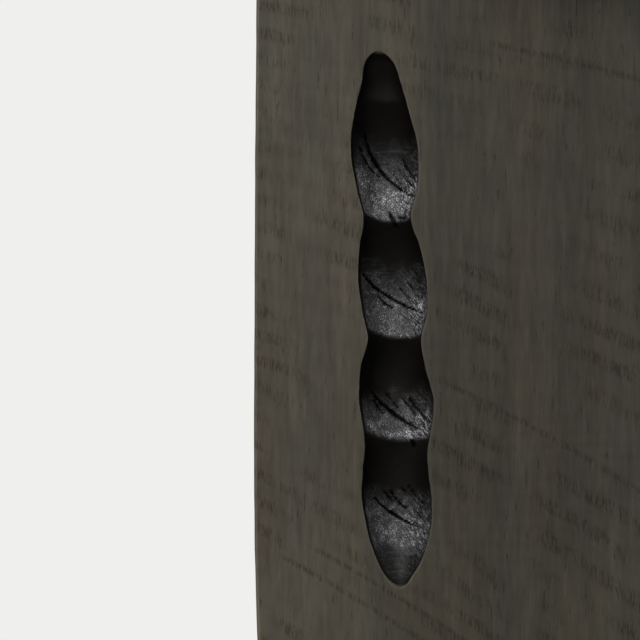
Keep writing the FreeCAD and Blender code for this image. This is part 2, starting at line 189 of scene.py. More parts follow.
def noise(points, cell, seed):
    """Smooth random values from -1 to 1, with features about as large as cell."""
    place = points / np.asarray(cell, float) + 1000.0
    base = np.floor(place).astype(np.int64)
    part = place - base
    part = part * part * (3 - 2 * part)
    total = np.zeros(points.shape[:-1])
    for corner in itertools.product((0, 1), repeat=3):
        weight = np.prod(np.where(corner, part, 1 - part), axis=-1)
        total += weight * lattice_random(base + np.array(corner), seed)
    return total * 2 - 1


def tool_cuts(points, cell, seed):
    """Shallow overlapping tool cuts: -1 in the middle of each cut, rising to 0 on the ridges between them."""
    place = points / np.asarray(cell, float) + 1000.0
    base = np.floor(place).astype(np.int64)
    nearest = np.full(points.shape[:-1], 9.0)
    for step in itertools.product((-1, 0, 1), repeat=3):
        neighbour = base + np.array(step)
        offsets = [lattice_random(neighbour, seed + axis) for axis in range(3)]
        middle = neighbour + 0.15 + 0.7 * np.stack(offsets, axis=-1)
        nearest = np.minimum(nearest, ((place - middle) ** 2).sum(axis=-1))
    return np.clip(nearest / 0.6, 0, 1) - 1


def smoothstep(low, high, value):
    t = np.clip((value - low) / (high - low), 0, 1)
    return t * t * (3 - 2 * t)


def arc_drop(radius, half_chord):
    return radius - np.sqrt(radius * radius - half_chord * half_chord)


def arc_radius(half_chord, rise):
    return (half_chord**2 + rise**2) / (2 * rise)


# Mesh assembly.


def make_piece(name, points, faces, material, stands_for, attributes=None):
    """A smooth-shaded piece from points in millimetres. It rides on the root body and replaces CAD nodes."""
    mesh = bpy.data.meshes.new(name)
    mesh.from_pydata((np.asarray(points) * MM).tolist(), [], faces)
    for key, values in (attributes or {}).items():
        layer = mesh.attributes.new(key, "FLOAT", "POINT")
        layer.data.foreach_set("value", np.asarray(values, np.float32))
    mesh.validate()
    mesh.shade_smooth()
    mesh.set_sharp_from_angle(angle=math.radians(50))
    mesh.materials.append(material)
    piece = bpy.data.objects.new(name, mesh)
    bpy.context.scene.collection.objects.link(piece)
    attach(piece, "root")
    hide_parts(*stands_for)
    return piece


def tube_faces(rows, columns):
    """Quads of a closed tube whose points run round each ring, ring after ring."""
    r, c = np.meshgrid(np.arange(rows - 1), np.arange(columns), indexing="ij")
    after = (c + 1) % columns
    corners = [r * columns + c, r * columns + after, (r + 1) * columns + after, (r + 1) * columns + c]
    return np.stack(corners, axis=-1).reshape(-1, 4).tolist()


def zipper(upper, lower, along):
    """Triangles between two lines of points that run the same way. along gives how far each point has run."""
    faces, i, j = [], 0, 0
    while i < len(upper) - 1 or j < len(lower) - 1:
        next_up = along[upper[i + 1]] if i < len(upper) - 1 else math.inf
        next_low = along[lower[j + 1]] if j < len(lower) - 1 else math.inf
        if next_up <= next_low:
            faces.append((upper[i], upper[i + 1], lower[j]))
            i += 1
        else:
            faces.append((upper[i], lower[j + 1], lower[j]))
            j += 1
    return faces


def prism(outline, low_y, high_y):
    """Points and faces of an outline in x and z, anticlockwise as seen from the front, pushed through y."""
    count = len(outline)
    points = [(x, y, z) for y in (low_y, high_y) for x, z in outline]
    faces = [tuple(range(count)), tuple(range(2 * count - 1, count - 1, -1))]
    faces += [(i, i + count, (i + 1) % count + count, (i + 1) % count) for i in range(count)]
    return points, faces


# The slab. LOOKS are the attributes of its points that its material reads.

LOOKS = ("carved", "torn_and_lit", "tear", "painted_glint", "worn")


def smooth_curve(at, knots, values):
    """A smooth curve through values at rising knots, never steeper than its neighbours ask for."""
    knots, values = np.asarray(knots, float), np.asarray(values, float)
    slopes = np.gradient(values, knots)
    i = np.clip(np.searchsorted(knots, at) - 1, 0, len(knots) - 2)
    span = knots[i + 1] - knots[i]
    t = np.clip((at - knots[i]) / span, 0, 1)
    start, end = values[i], values[i + 1]
    lean_in, lean_out = slopes[i] * span, slopes[i + 1] * span
    change = end - start
    cubic = lean_in + lean_out - 2 * change
    square = 3 * change - 2 * lean_in - lean_out
    return start + t * (lean_in + t * (square + t * cubic))


def groove_rims(up):
    """The groove's centre line, measured inwards, and its half width at each height above its middle."""
    heights, inward, half = (np.array(column) for column in zip(*GROOVE_OUTLINE[::-1]))
    middle = smooth_curve(up, heights, inward)
    return middle, np.sqrt(np.maximum(smooth_curve(up, heights, half**2), 0))


def scoop_floor(up, ragged):
    """Depth of the groove's centre line, and how torn and painted lit its wood is, with a ragged start."""
    depths, torn_and_lit = [], []
    for rise, half_length, deep, lit_torn_from, lit_torn_most in SCOOPS:
        sweep = arc_radius(half_length, deep)
        away = up - rise
        depths.append(np.sqrt(np.maximum(sweep**2 - away**2, 0)) - (sweep - deep))
        torn_and_lit.append(smoothstep(lit_torn_from, lit_torn_most, up + ragged))
    depths, torn_and_lit = np.stack(depths), np.stack(torn_and_lit)
    deepest = depths.max(axis=0)
    weights = np.exp((depths - deepest) / CREST_BLUNTNESS)
    total = weights.sum(axis=0)
    floor = np.maximum(deepest + CREST_BLUNTNESS * np.log(total), 0)
    return floor, (torn_and_lit * weights).sum(axis=0) / total


def tear_depth(across, up, mirrored_jitter):
    """Extra depth, and a 0 to 1 mask where the gouge tore the wood, painted black there as shadow."""
    depth, mask = np.zeros_like(across), np.zeros_like(across)
    for number, (start, bend, end, width, deep) in enumerate(TEARS):
        shift = mirrored_jitter * np.array([math.sin(number * 2.4), math.cos(number * 1.7)])
        t = np.linspace(0, 1, 80)[:, None]
        curve = (1 - t) ** 2 * np.array(start) + 2 * t * (1 - t) * np.array(bend) + t**2 * np.array(end)
        curve = curve + shift
        near = (np.abs(across - curve[:, 0].mean()) < 9) & (np.abs(up - curve[:, 1].mean()) < 9)
        offsets = np.stack([across[near], up[near]], axis=-1)[:, None, :] - curve[None]
        distance = np.hypot(offsets[..., 0], offsets[..., 1])
        best = distance.argmin(axis=1)
        taper = np.sin(math.pi * np.clip(t[best, 0] * 0.86 + 0.08, 0, 1))
        reach = 1.4 * width * (0.35 + 0.65 * taper)
        jagged = 0.13 * noise(np.stack([across[near], 0 * up[near], up[near]], axis=-1), (0.5, 1, 0.7), 47)
        strength = smoothstep(1.0, 0.25, (distance.min(axis=1) + jagged) / reach) * taper**0.3
        depth[near] = np.maximum(depth[near], deep * strength)
        mask[near] = np.maximum(mask[near], np.minimum(1.3 * strength, 1))
    return depth, mask


def slab_rows():
    """Heights of the slab's rows of points: close together along the grooves, wider apart at the ends."""
    low = np.linspace(0, 1, 9)[:-1]
    fine = np.arange(GROOVE_BOTTOM, GROOVE_TOP, 0.3)
    high = np.linspace(0, 1, 9)[1:]
    return low, fine, high


def slab_half_width(z):
    """Half the slab's width, on the two arcs that meet where it is widest."""
    low_z, high_z = shoulder_low(SLAB_LOW_HALF), shoulder_high(SLAB_HIGH_HALF)
    below = arc_radius(SLAB_FULL_HEIGHT - low_z, SLAB_FULL_HALF - SLAB_LOW_HALF)
    above = arc_radius(high_z - SLAB_FULL_HEIGHT, SLAB_FULL_HALF - SLAB_HIGH_HALF)
    radius = np.where(z < SLAB_FULL_HEIGHT, below, above)
    return SLAB_FULL_HALF - arc_drop(radius, np.clip(z, low_z - 3, high_z + 3) - SLAB_FULL_HEIGHT)


def shoulder_low(x):
    """Height of the slab's bottom, which sits on the foot board's arch."""
    radius = arc_radius((FOOT_HIGH[0] - FOOT_LOW[0]) / 2, FOOT_CROWN - FOOT_END_HEIGHT)
    return FOOT_CROWN - arc_drop(radius, x)


def shoulder_high(x):
    """Height of the slab's top, coped to the cradle's underside."""
    return CRADLE_UNDER - GLUE_GAP + arc_drop(UNDER_RADIUS, x)


def saw_phase(x, z):
    """Runs down the slab's face as the saw went: nearly level at the top, sloping more towards the bottom."""
    return z + (x - SAW_START) * (SAW_SLOPE - SAW_EASE * z)


def face_relief(points):
    """Low relief of a sawn face: uneven planing and slanting saw marks, always below the CAD's face."""
    x, z = points[..., 0], points[..., 2]
    phase = saw_phase(x, z) + 1.5 * noise(points, (30, 30, 12), 11)
    marks = 0.5 + 0.5 * np.sin(phase * 2 * math.pi / SAW_PITCH + 2 * noise(points, (60, 60, 9), 12))
    return 0.05 * marks**3 + 0.06 * (1 + noise(points, (14, 14, 50), 13))


def groove_block(z, side, front, columns):
    """Columns across one groove: worn arris, carved inside and the other arris, as dicts of arrays.
    The arrises are lighter for wear and a painted highlight; inside, torn grey is partly painted light.
    """
    up = z[:, None] - GROOVE_HEIGHT
    inward, opening = groove_rims(up)
    middle = (GROOVE_OFFSET - inward) * side
    place = np.stack([middle, 0 * up + front * 9, up], axis=-1)
    left = middle - np.maximum(opening + 0.12 * noise(place, 4, 21) + 0.04 * noise(place, 1.2, 22), 0.5)
    right = middle + np.maximum(opening + 0.12 * noise(place, 4, 23) + 0.04 * noise(place, 1.2, 24), 0.5)
    here = smoothstep(0.2, 1.6, opening)
    chips = np.clip(1 + 0.7 * noise(place, (9, 9, 1.6), 31), 0.2, 2)
    rim_steps = np.array([0.0, 0.14, 0.34, 0.7])
    rim_depth = np.array([0.14, 0.05, 0.012, 0.0]) * chips * here
    # The arris is lighter for wear, and as a painted highlight along it.
    worn = np.array([1.0, 0.4, 0.06, 0.0]) * here
    s = np.sin(np.linspace(-math.pi / 2, math.pi / 2, columns + 1))[None, 1:-1]
    x = (left + right) / 2 + (right - left) / 2 * s
    where = np.stack([x, 0 * x + front * 30.0, up + 0 * x], axis=-1)
    ragged = 1.6 * noise(where, (2.5, 2, 4), 45) + 0.7 * noise(where, (0.8, 2, 1.2), 46)
    floor, torn_and_lit = scoop_floor(up + CREST_DIP * (1 - s**2) - CREST_TILT * s * side, ragged)
    # Painted light and shadow: the lit grey fades out at the groove's bottom tip, and a thin strip along the
    # outer wall stays black as a painted shadow.
    dull_tip = 1 - 0.86 * smoothstep(-40.2, -42.8, up + 0.6 * ragged)
    torn_and_lit = torn_and_lit * dull_tip * smoothstep(-0.95, -0.885, -s * side)
    inside = smoothstep(0.3, 2.4, opening)
    carve = floor * (1 - s**2) ** SECTION_POWER * inside
    across = (x - GROOVE_OFFSET * side) * -side
    tear, mask = tear_depth(across, up + 0 * x, 0.0 if (side < 0 and front > 0) else 0.7)
    over, down = across * TEAR_DOWN + up * TEAR_INWARD, across * TEAR_INWARD - up * TEAR_DOWN
    stripes = np.stack([over, 0 * x + side * 5.0 + front, down], axis=-1)
    deep = smoothstep(0.4, 2.4, carve)
    rough = 0.1 * noise(where, (3, 3, 7), 42) + 0.035 * noise(where, (0.9, 2, 1.3), 41)
    rough += torn_and_lit * (0.1 * noise(stripes, (0.5, 2, 3.5), 43) + 0.09 * noise(where, (0.6, 2, 0.6), 44))
    depth = np.maximum(carve, rim_depth[:, :1]) + deep * (rough + tear)
    # Painted highlights: brighter patches where lifted fibres would catch the light.
    painted_glint = 0 * x
    for g_across, g_up, wide, tall, strength in PAINTED_GLINTS:
        away = ((across - g_across) / wide) ** 2 + ((up + 0.5 * ragged - g_up) / tall) ** 2
        painted_glint = np.maximum(painted_glint, strength * np.exp(-away) * (torn_and_lit > 0.05))
    carved = smoothstep(0.12, 0.4, carve)
    groove = {"carved": carved, "torn_and_lit": torn_and_lit * deep, "tear": mask * deep, "painted_glint": painted_glint}
    return [
        {"x": left - rim_steps[::-1], "depth": rim_depth[:, ::-1], "worn": worn[:, ::-1]},
        {"x": x, "depth": depth, **groove},
        {"x": right + rim_steps, "depth": rim_depth, "worn": worn},
    ]


def face_columns(z, front):
    """One broad face: x, depth and the shader's attributes for each column of points, at each row."""
    edge = (slab_half_width(z) - SLAB_EDGE)[:, None]
    fineness = {(-1, 1): 72, (1, 1): 40}
    blocks, start = [], -edge
    for side, count in ((-1, 8), (1, 12)):
        groove = groove_block(z, side, front, fineness.get((side, front), 26))
        end = groove[0]["x"][:, :1]
        steps = np.linspace(0, 1, count + 1)[:-1]
        blocks.append({"x": start + (end - start) * (steps if side < 0 else steps[1:])})
        blocks += groove
        start = groove[2]["x"][:, -1:]
    blocks.append({"x": start + (edge - start) * np.linspace(0, 1, 9)[1:]})
    columns = {}
    for key in ("x", "depth", *LOOKS):
        parts = [np.broadcast_to(block.get(key, 0.0), block["x"].shape) for block in blocks]
        columns[key] = np.concatenate(parts, axis=1)
    return columns


def make_slab(material):
    """The upright slab: sawn broad faces with carved grooves, narrow sides, and wedged tenons below."""
    low, fine, high = slab_rows()
    level = np.concatenate([np.full(len(low), GROOVE_BOTTOM), fine, np.full(len(high), fine[-1])])
    reach_low = np.concatenate([1 - low, np.zeros(len(fine) + len(high))])
    reach_high = np.concatenate([np.zeros(len(low) + len(fine)), high])

    def heights(x):
        """Height of each row at x: level along the grooves, and bent to the shoulders beyond them."""
        below = reach_low[:, None] * (shoulder_low(x) - GROOVE_BOTTOM)
        above = reach_high[:, None] * (shoulder_high(x) - fine[-1])
        return level[:, None] + below + above

    rough_z = heights(np.full((len(level), 1), SLAB_FULL_HALF - 1))[:, 0]
    front_y, back_y = SLAB_LOW[1], SLAB_HIGH[1]
    parts = {key: [] for key in ("x", "y", "z", *LOOKS)}

    def put(x, y, z, **values):
        shape = np.broadcast_shapes(x.shape, np.shape(y), z.shape)
        for key, value in {"x": x, "y": y, "z": z, **values}.items():
            parts[key].append(np.broadcast_to(value, shape))
        for key in parts:
            if key not in ("x", "y", "z") and key not in values:
                parts[key].append(np.zeros(shape))

    def broad_face(front):
        face = face_columns(rough_z, front)
        z = heights(face["x"])
        base_y = front_y if front > 0 else back_y
        relief = face_relief(np.stack([face["x"], np.full(z.shape, base_y), z], axis=-1))
        y = base_y + front * (face["depth"] + relief * (1 - face["carved"]))
        extra = {key: face[key] for key in LOOKS}
        if front < 0:
            put(face["x"][:, ::-1], y[:, ::-1], z[:, ::-1], **{k: v[:, ::-1] for k, v in extra.items()})
        else:
            put(face["x"], y, z, **extra)

    def narrow_side(side):
        """One side with its two rounded edges: front to back on the right, back to front on the left."""
        turn = np.linspace(0, math.pi / 2, 5)[1:-1]
        depth = np.linspace(front_y + SLAB_EDGE, back_y - SLAB_EDGE, SIDE_COLUMNS)
        inset = np.concatenate([1 - np.sin(turn), 0 * depth, 1 - np.cos(turn)]) * SLAB_EDGE
        y = np.concatenate(
            [
                front_y + SLAB_EDGE * (1 - np.cos(turn)),
                depth,
                back_y - SLAB_EDGE + SLAB_EDGE * np.sin(turn),
            ]
        )
        # The rounded edges are lighter for wear, and as a painted highlight along them.
        worn = np.concatenate([np.ones(3), np.zeros(SIDE_COLUMNS), np.ones(3)])
        if side < 0:
            inset, y, worn = inset[::-1], y[::-1], worn[::-1]
        half = slab_half_width(rough_z)[:, None]
        place = np.stack(
            [np.full((len(half), len(y)), side * 60.0), np.tile(y, (len(half), 1)), rough_z[:, None] + 0 * y],
            axis=-1,
        )
        hollow = 0.06 * (1 + noise(place, (9, 7, 26), 51)) + 0.04 * (1 + noise(place, (2, 3, 5), 52))
        x = side * (half - inset[None, :] - hollow)
        put(x, y[None, :], heights(x), worn=worn[None, :])

    broad_face(1)
    narrow_side(1)
    broad_face(-1)
    narrow_side(-1)
    grid = {key: np.concatenate(values, axis=1) for key, values in parts.items()}
    rows, columns = grid["x"].shape
    points = np.stack([grid["x"], grid["y"], grid["z"]], axis=-1).reshape(-1, 3)
    faces = tube_faces(rows, columns)
    front_count, side_count = parts["x"][0].shape[1], parts["x"][1].shape[1]
    back_start = front_count + side_count
    for row, flip in ((0, False), (rows - 1, True)):
        ring = row * columns
        front = [ring + i for i in range(front_count)]
        back = [ring + back_start + i for i in range(parts["x"][2].shape[1])][::-1]
        right = [front[-1], *(ring + front_count + i for i in range(side_count)), back[-1]]
        left = [back[0], *(ring + columns - side_count + i for i in range(side_count)), front[0]]
        cap = zipper(back, front, points[:, 0]) + [tuple(right[::-1]), tuple(left[::-1])]
        faces += [tuple(reversed(face)) if flip else face for face in cap]
    points = points.tolist()
    values = {key: grid[key].reshape(-1).tolist() for key in LOOKS}
    for side in (-1, 1):
        tenon_points, tenon_faces = lower_tenon(side)
        faces += [tuple(i + len(points) for i in face) for face in tenon_faces]
        points += tenon_points
        for key in values:
            values[key] += [0.0] * len(tenon_points)
    return make_piece("slab_wood", points, faces, material, ["support_slab"], values)


def lower_tenon(side):
    """A through tenon, flared where its two wedges spread it, as a prism with two kerfs."""
    centre, low, high = TENON_OFFSET * side, TENON_RECESS, FOOT_CROWN - MORTISE_ROOF - GLUE_GAP
    foot, neck = TENON_WIDTH / 2 + TENON_SPREAD, TENON_WIDTH / 2
    outline = [(centre - foot, low)]
    for kerf in (-WEDGE_OFFSET, WEDGE_OFFSET):
        middle = centre + kerf
        outline += [(middle - WEDGE_MOUTH / 2, low), (middle - WEDGE_TIP / 2, low + WEDGE_LENGTH)]
        outline += [(middle + WEDGE_TIP / 2, low + WEDGE_LENGTH), (middle + WEDGE_MOUTH / 2, low)]
    outline += [(centre + foot, low), (centre + neck, high), (centre - neck, high)]
    return prism(outline, -TENON_DEPTH / 2, TENON_DEPTH / 2)


# The cradle and the foot board: rings of points set one after another along x.


def rounded_ring(half_depth, low, high, low_round, high_round, across, up):
    """Points (y, z) round a cross-section with rounded corners, from the middle of its top, front first."""
    turn = np.linspace(0, math.pi / 2, 6)
    flat_top = half_depth - high_round
    flat_low = half_depth - low_round
    side = np.linspace(high - high_round, low + low_round, up + 1)[1:-1]
    quarter = [(-flat_top * t, high) for t in np.linspace(0, 1, across + 1)[:-1]]
    quarter += [(-flat_top - high_round * math.sin(a), high - high_round * (1 - math.cos(a))) for a in turn]
    quarter += [(-half_depth, z) for z in side]
    quarter += [(-flat_low - low_round * math.cos(a), low + low_round * (1 - math.sin(a))) for a in turn]
    quarter += [(-flat_low * (1 - t), low) for t in np.linspace(0, 1, across + 1)[1:]]
    mirrored = [(-y, z) for y, z in quarter[1:-1]]
    return np.array(quarter + mirrored[::-1])


def end_inset(gap, rounding):
    """How far a face draws in, so close to an end, to round the edge there."""
    near = np.clip(rounding - gap, 0, rounding)
    return rounding - math.sqrt(rounding**2 - near**2)


def make_board(box_low, box_high, shape, across, up, step):
    """Rings along a board with bowed sides and ends. shape gives its low and high at x, and its sizes."""
    half, depth = (box_high[0] - box_low[0]) / 2, (box_high[1] - box_low[1]) / 2
    flat = np.linspace(-(half - shape["corner"]), half - shape["corner"], int(2 * half / step))
    turn = np.linspace(0, math.pi / 2, 8)[1:]
    tip = half - shape["corner"] + shape["corner"] * np.sin(turn)
    shrunk = np.array([0.9, 0.7, 0.45, 0.2])
    stations = np.concatenate([[-half] * len(shrunk), -tip[::-1], flat, tip, [half] * len(shrunk)])
    scales = np.concatenate([shrunk[::-1], np.ones(len(flat) + 2 * len(tip)), shrunk])
    rings = []
    for x, scale in zip(stations, scales):
        gap = half - abs(x)
        plan = depth - (depth - shape["end_depth"] / 2) * (x / half) ** 2
        corner = end_inset(gap, shape["corner"])
        high = shape["high"](x) - end_inset(gap, shape["high_round"])
        low = shape["low"](x) + end_inset(gap, shape["low_round"])
        ring = rounded_ring(plan - corner, low, high, shape["low_round"], shape["high_round"], across, up)
        ring = ring * scale + np.array([0, (low + high) / 2]) * (1 - scale)
        bow = shape["end_bow"] * (ring[:, 0] / (shape["end_depth"] / 2)) ** 2
        rings.append(np.column_stack([x * (1 - bow / half), ring[:, 0], ring[:, 1]]))
    rows, columns = len(stations), len(rings[0])
    ends = [rings[0].mean(axis=0) * (1, 0, 1), rings[-1].mean(axis=0) * (1, 0, 1)]
    points = np.concatenate([*rings, ends])
    faces = tube_faces(rows, columns)
    last = (rows - 1) * columns
    for i in range(columns):
        after = (i + 1) % columns
        faces += [(after, i, rows * columns), (last + i, last + after, rows * columns + 1)]
    return points, faces


def carve(points, faces, amount):
    """Pushes each point in along its normal by amount(points, normals)."""
    mesh = bpy.data.meshes.new("carving")
    mesh.from_pydata(points.tolist(), [], faces)
    normals = np.zeros(len(points) * 3, np.float32)
    mesh.vertices.foreach_get("normal", normals)
    bpy.data.meshes.remove(mesh)
    normals = normals.reshape(-1, 3)
    return points - normals * amount(points, normals)[:, None]


def clear_of_slab(points, margin):
    """0 where the slab meets a board, 1 away from it."""
    gap_x = np.abs(points[:, 0]) - SLAB_FULL_HALF
    gap_y = np.abs(points[:, 1]) - SLAB_HIGH[1]
    return smoothstep(0.0, margin, np.maximum(gap_x, gap_y))


def make_cradle(material):
    """The crescent neck cradle: adzed below, worn smooth by use in the seat."""
    shape = {
        "corner": CRADLE_CORNER,
        "end_depth": CRADLE_END_DEPTH,
        "end_bow": CRADLE_END_BOW,
        "high_round": CRADLE_ROUND,
        "low_round": CRADLE_LOW_ROUND,
        "high": lambda x: CRADLE_SEAT + arc_drop(SEAT_RADIUS, abs(x)),
        "low": lambda x: CRADLE_UNDER + arc_drop(UNDER_RADIUS, abs(x)),
    }
    points, faces = make_board(CRADLE_LOW, CRADLE_HIGH, shape, 30, 16, 1.15)

    def amount(p, n):
        seat = smoothstep(0.3, 0.8, n[:, 2])
        contact = np.where(n[:, 2] < -0.5, clear_of_slab(p, 5.0), 1.0)
        rough = 0.6 * (1 + tool_cuts(p, (17, 9, 8), 61)) + 0.05 * (1 + noise(p, (7, 2.5, 2.5), 62))
        smooth = 0.1 * (1 + tool_cuts(p, (34, 14, 30), 63)) + 0.04 * (1 + noise(p, (24, 12, 20), 64))
        return (rough * (1 - seat) + smooth * seat) * contact

    used = smoothstep(90, 40, np.abs(points[:, 0])) * smoothstep(40, 26, np.abs(points[:, 1]))
    seat = (points[:, 2] > CRADLE_SEAT - 1 + arc_drop(SEAT_RADIUS, np.abs(points[:, 0]) * 0.999)) * used
    points = carve(points, faces, amount)
    piece = make_piece(
        "cradle_wood", points, faces, material, ["neck_cradle"], {"polished": seat}
    )
    cut(piece, [peg_cutter(side) for side in (-1, 1)])
    return piece


def make_foot(material):
    """The arched foot board, adzed on top and along its edges, with its two mortises open below."""
    radius = arc_radius((FOOT_HIGH[0] - FOOT_LOW[0]) / 2, FOOT_CROWN - FOOT_END_HEIGHT)
    shape = {
        "corner": FOOT_CORNER,
        "end_depth": FOOT_END_DEPTH,
        "end_bow": FOOT_END_BOW,
        "high_round": FOOT_ROUND,
        "low_round": 0.7,
        "high": lambda x: FOOT_CROWN - arc_drop(radius, abs(x)),
        "low": lambda x: 0.0,
    }
    points, faces = make_board(FOOT_LOW, FOOT_HIGH, shape, 30, 8, 1.15)

    def amount(p, n):
        top = np.where(n[:, 2] > 0.5, clear_of_slab(p, 4.0), 1.0)
        rough = 0.55 * (1 + tool_cuts(p, (15, 10, 8), 71)) + 0.05 * (1 + noise(p, (7, 2.5, 2.5), 72))
        return rough * top * smoothstep(-0.9, -0.4, n[:, 2])

    points = carve(points, faces, amount)
    piece = make_piece("foot_wood", points, faces, material, ["foot_board"])
    cut(piece, [mortise_cutter(side) for side in (-1, 1)])
    return piece


def cutter(points, faces):
    mesh = bpy.data.meshes.new("cutter")
    mesh.from_pydata((np.array(points) * MM).tolist(), [], faces)
    tool = bpy.data.objects.new("cutter", mesh)
    bpy.context.scene.collection.objects.link(tool)
    return tool


def mortise_cutter(side):
    """The flared mortise, from under the foot board to just under its top, where the slab covers it."""
    centre, foot = TENON_OFFSET * side, TENON_WIDTH / 2 + TENON_SPREAD + GLUE_GAP
    neck, high = TENON_WIDTH / 2 + GLUE_GAP, FOOT_CROWN - MORTISE_ROOF
    outline = [(centre - foot, -1.0), (centre + foot, -1.0), (centre + neck, high), (centre - neck, high)]
    return cutter(*prism(outline, -TENON_DEPTH / 2 - GLUE_GAP, TENON_DEPTH / 2 + GLUE_GAP))


def peg_cutter(side):
    """A round hole for a peg, a hair wider than the peg."""
    turns = np.linspace(0, 2 * math.pi, 41)[:-1]
    radius = PEG_RADIUS + 0.12
    outline = [
        (TENON_OFFSET * side + radius * math.cos(a), PEG_HEIGHT + radius * math.sin(a)) for a in turns
    ]
    return cutter(*prism(outline, CRADLE_LOW[1] - 2, CRADLE_HIGH[1] + 2))


def cut(piece, tools):
    """Cuts the tools' shapes out of the piece for good, and removes the tools."""
    for tool in tools:
        modifier = piece.modifiers.new("cut", "BOOLEAN")
        modifier.operation, modifier.solver, modifier.object = "DIFFERENCE", "EXACT", tool
    evaluated = piece.evaluated_get(bpy.context.evaluated_depsgraph_get())
    mesh = bpy.data.meshes.new_from_object(evaluated)
    piece.modifiers.clear()
    piece.data = mesh
    for tool in tools:
        bpy.data.objects.remove(tool)


def make_peg(name, material):
    """A whittled peg: flats round its sides, and trimmed, slightly domed ends."""
    low, high = node_box(name)
    centre_x, centre_z, half = (low[0] + high[0]) / 2, (low[2] + high[2]) / 2, (high[1] - low[1]) / 2
    sides = np.linspace(0, 2 * math.pi, 37)[:-1]
    body = np.linspace(-(half - PEG_BEVEL), half - PEG_BEVEL, 30)
    rings = [(-half + 0.05, 0.4), (-half + 0.2, 0.72), *((y, 1.0) for y in body)]
    rings += [(half - 0.2, 0.72), (half - 0.05, 0.4)]
    points = []
    for y, share in rings:
        whittled = 1 - 0.03 * (0.5 + 0.5 * np.cos(sides * 9 + y * 0.05))
        radius = PEG_RADIUS * share * whittled
        ring = [centre_x + radius * np.sin(sides), y + 0 * sides, centre_z + radius * np.cos(sides)]
        points += np.column_stack(ring).tolist()
    count = len(sides)
    faces = tube_faces(len(rings), count)
    points += [(centre_x, -half, centre_z), (centre_x, half, centre_z)]
    last = (len(rings) - 1) * count
    faces += [(len(points) - 2, (i + 1) % count, i) for i in range(count)]
    faces += [(len(points) - 1, last + i, last + (i + 1) % count) for i in range(count)]
    return make_piece(name.replace("drawbore", "whittled"), points, faces, material, [name])


# Materials. Woods are given as a light and a dark tone.

HEARTWOOD = (0.052, 0.0455, 0.0325, 1), (0.0405, 0.036, 0.026, 1)
SAPWOOD = (0.076, 0.066, 0.0485, 1), (0.0615, 0.054, 0.0405, 1)
HEWN_WOOD = (0.082, 0.071, 0.052, 1), (0.057, 0.05, 0.037, 1)
PIN_WOOD = (0.05, 0.033, 0.021, 1), (0.03, 0.02, 0.0135, 1)
NO_TINT, KERF_TINT = (1, 1, 1, 1), (0.96, 0.88, 0.72, 1)
WARM_TINT, COOL_TINT = (1.03, 1.0, 0.95, 1), (0.97, 1.01, 1.02, 1)
# Inside a groove: the blackened wood, and the grey of torn fibres, which partly stands for painted light.
CUT_BLACK, TORN_AND_LIT_GREY = (0.0054, 0.0046, 0.0037, 1), (0.52, 0.52, 0.545, 1)
# Painted shadow: the near black that the tears are painted with.
TEAR_SHADOW_BLACK = (0.0012, 0.0011, 0.0012, 1)


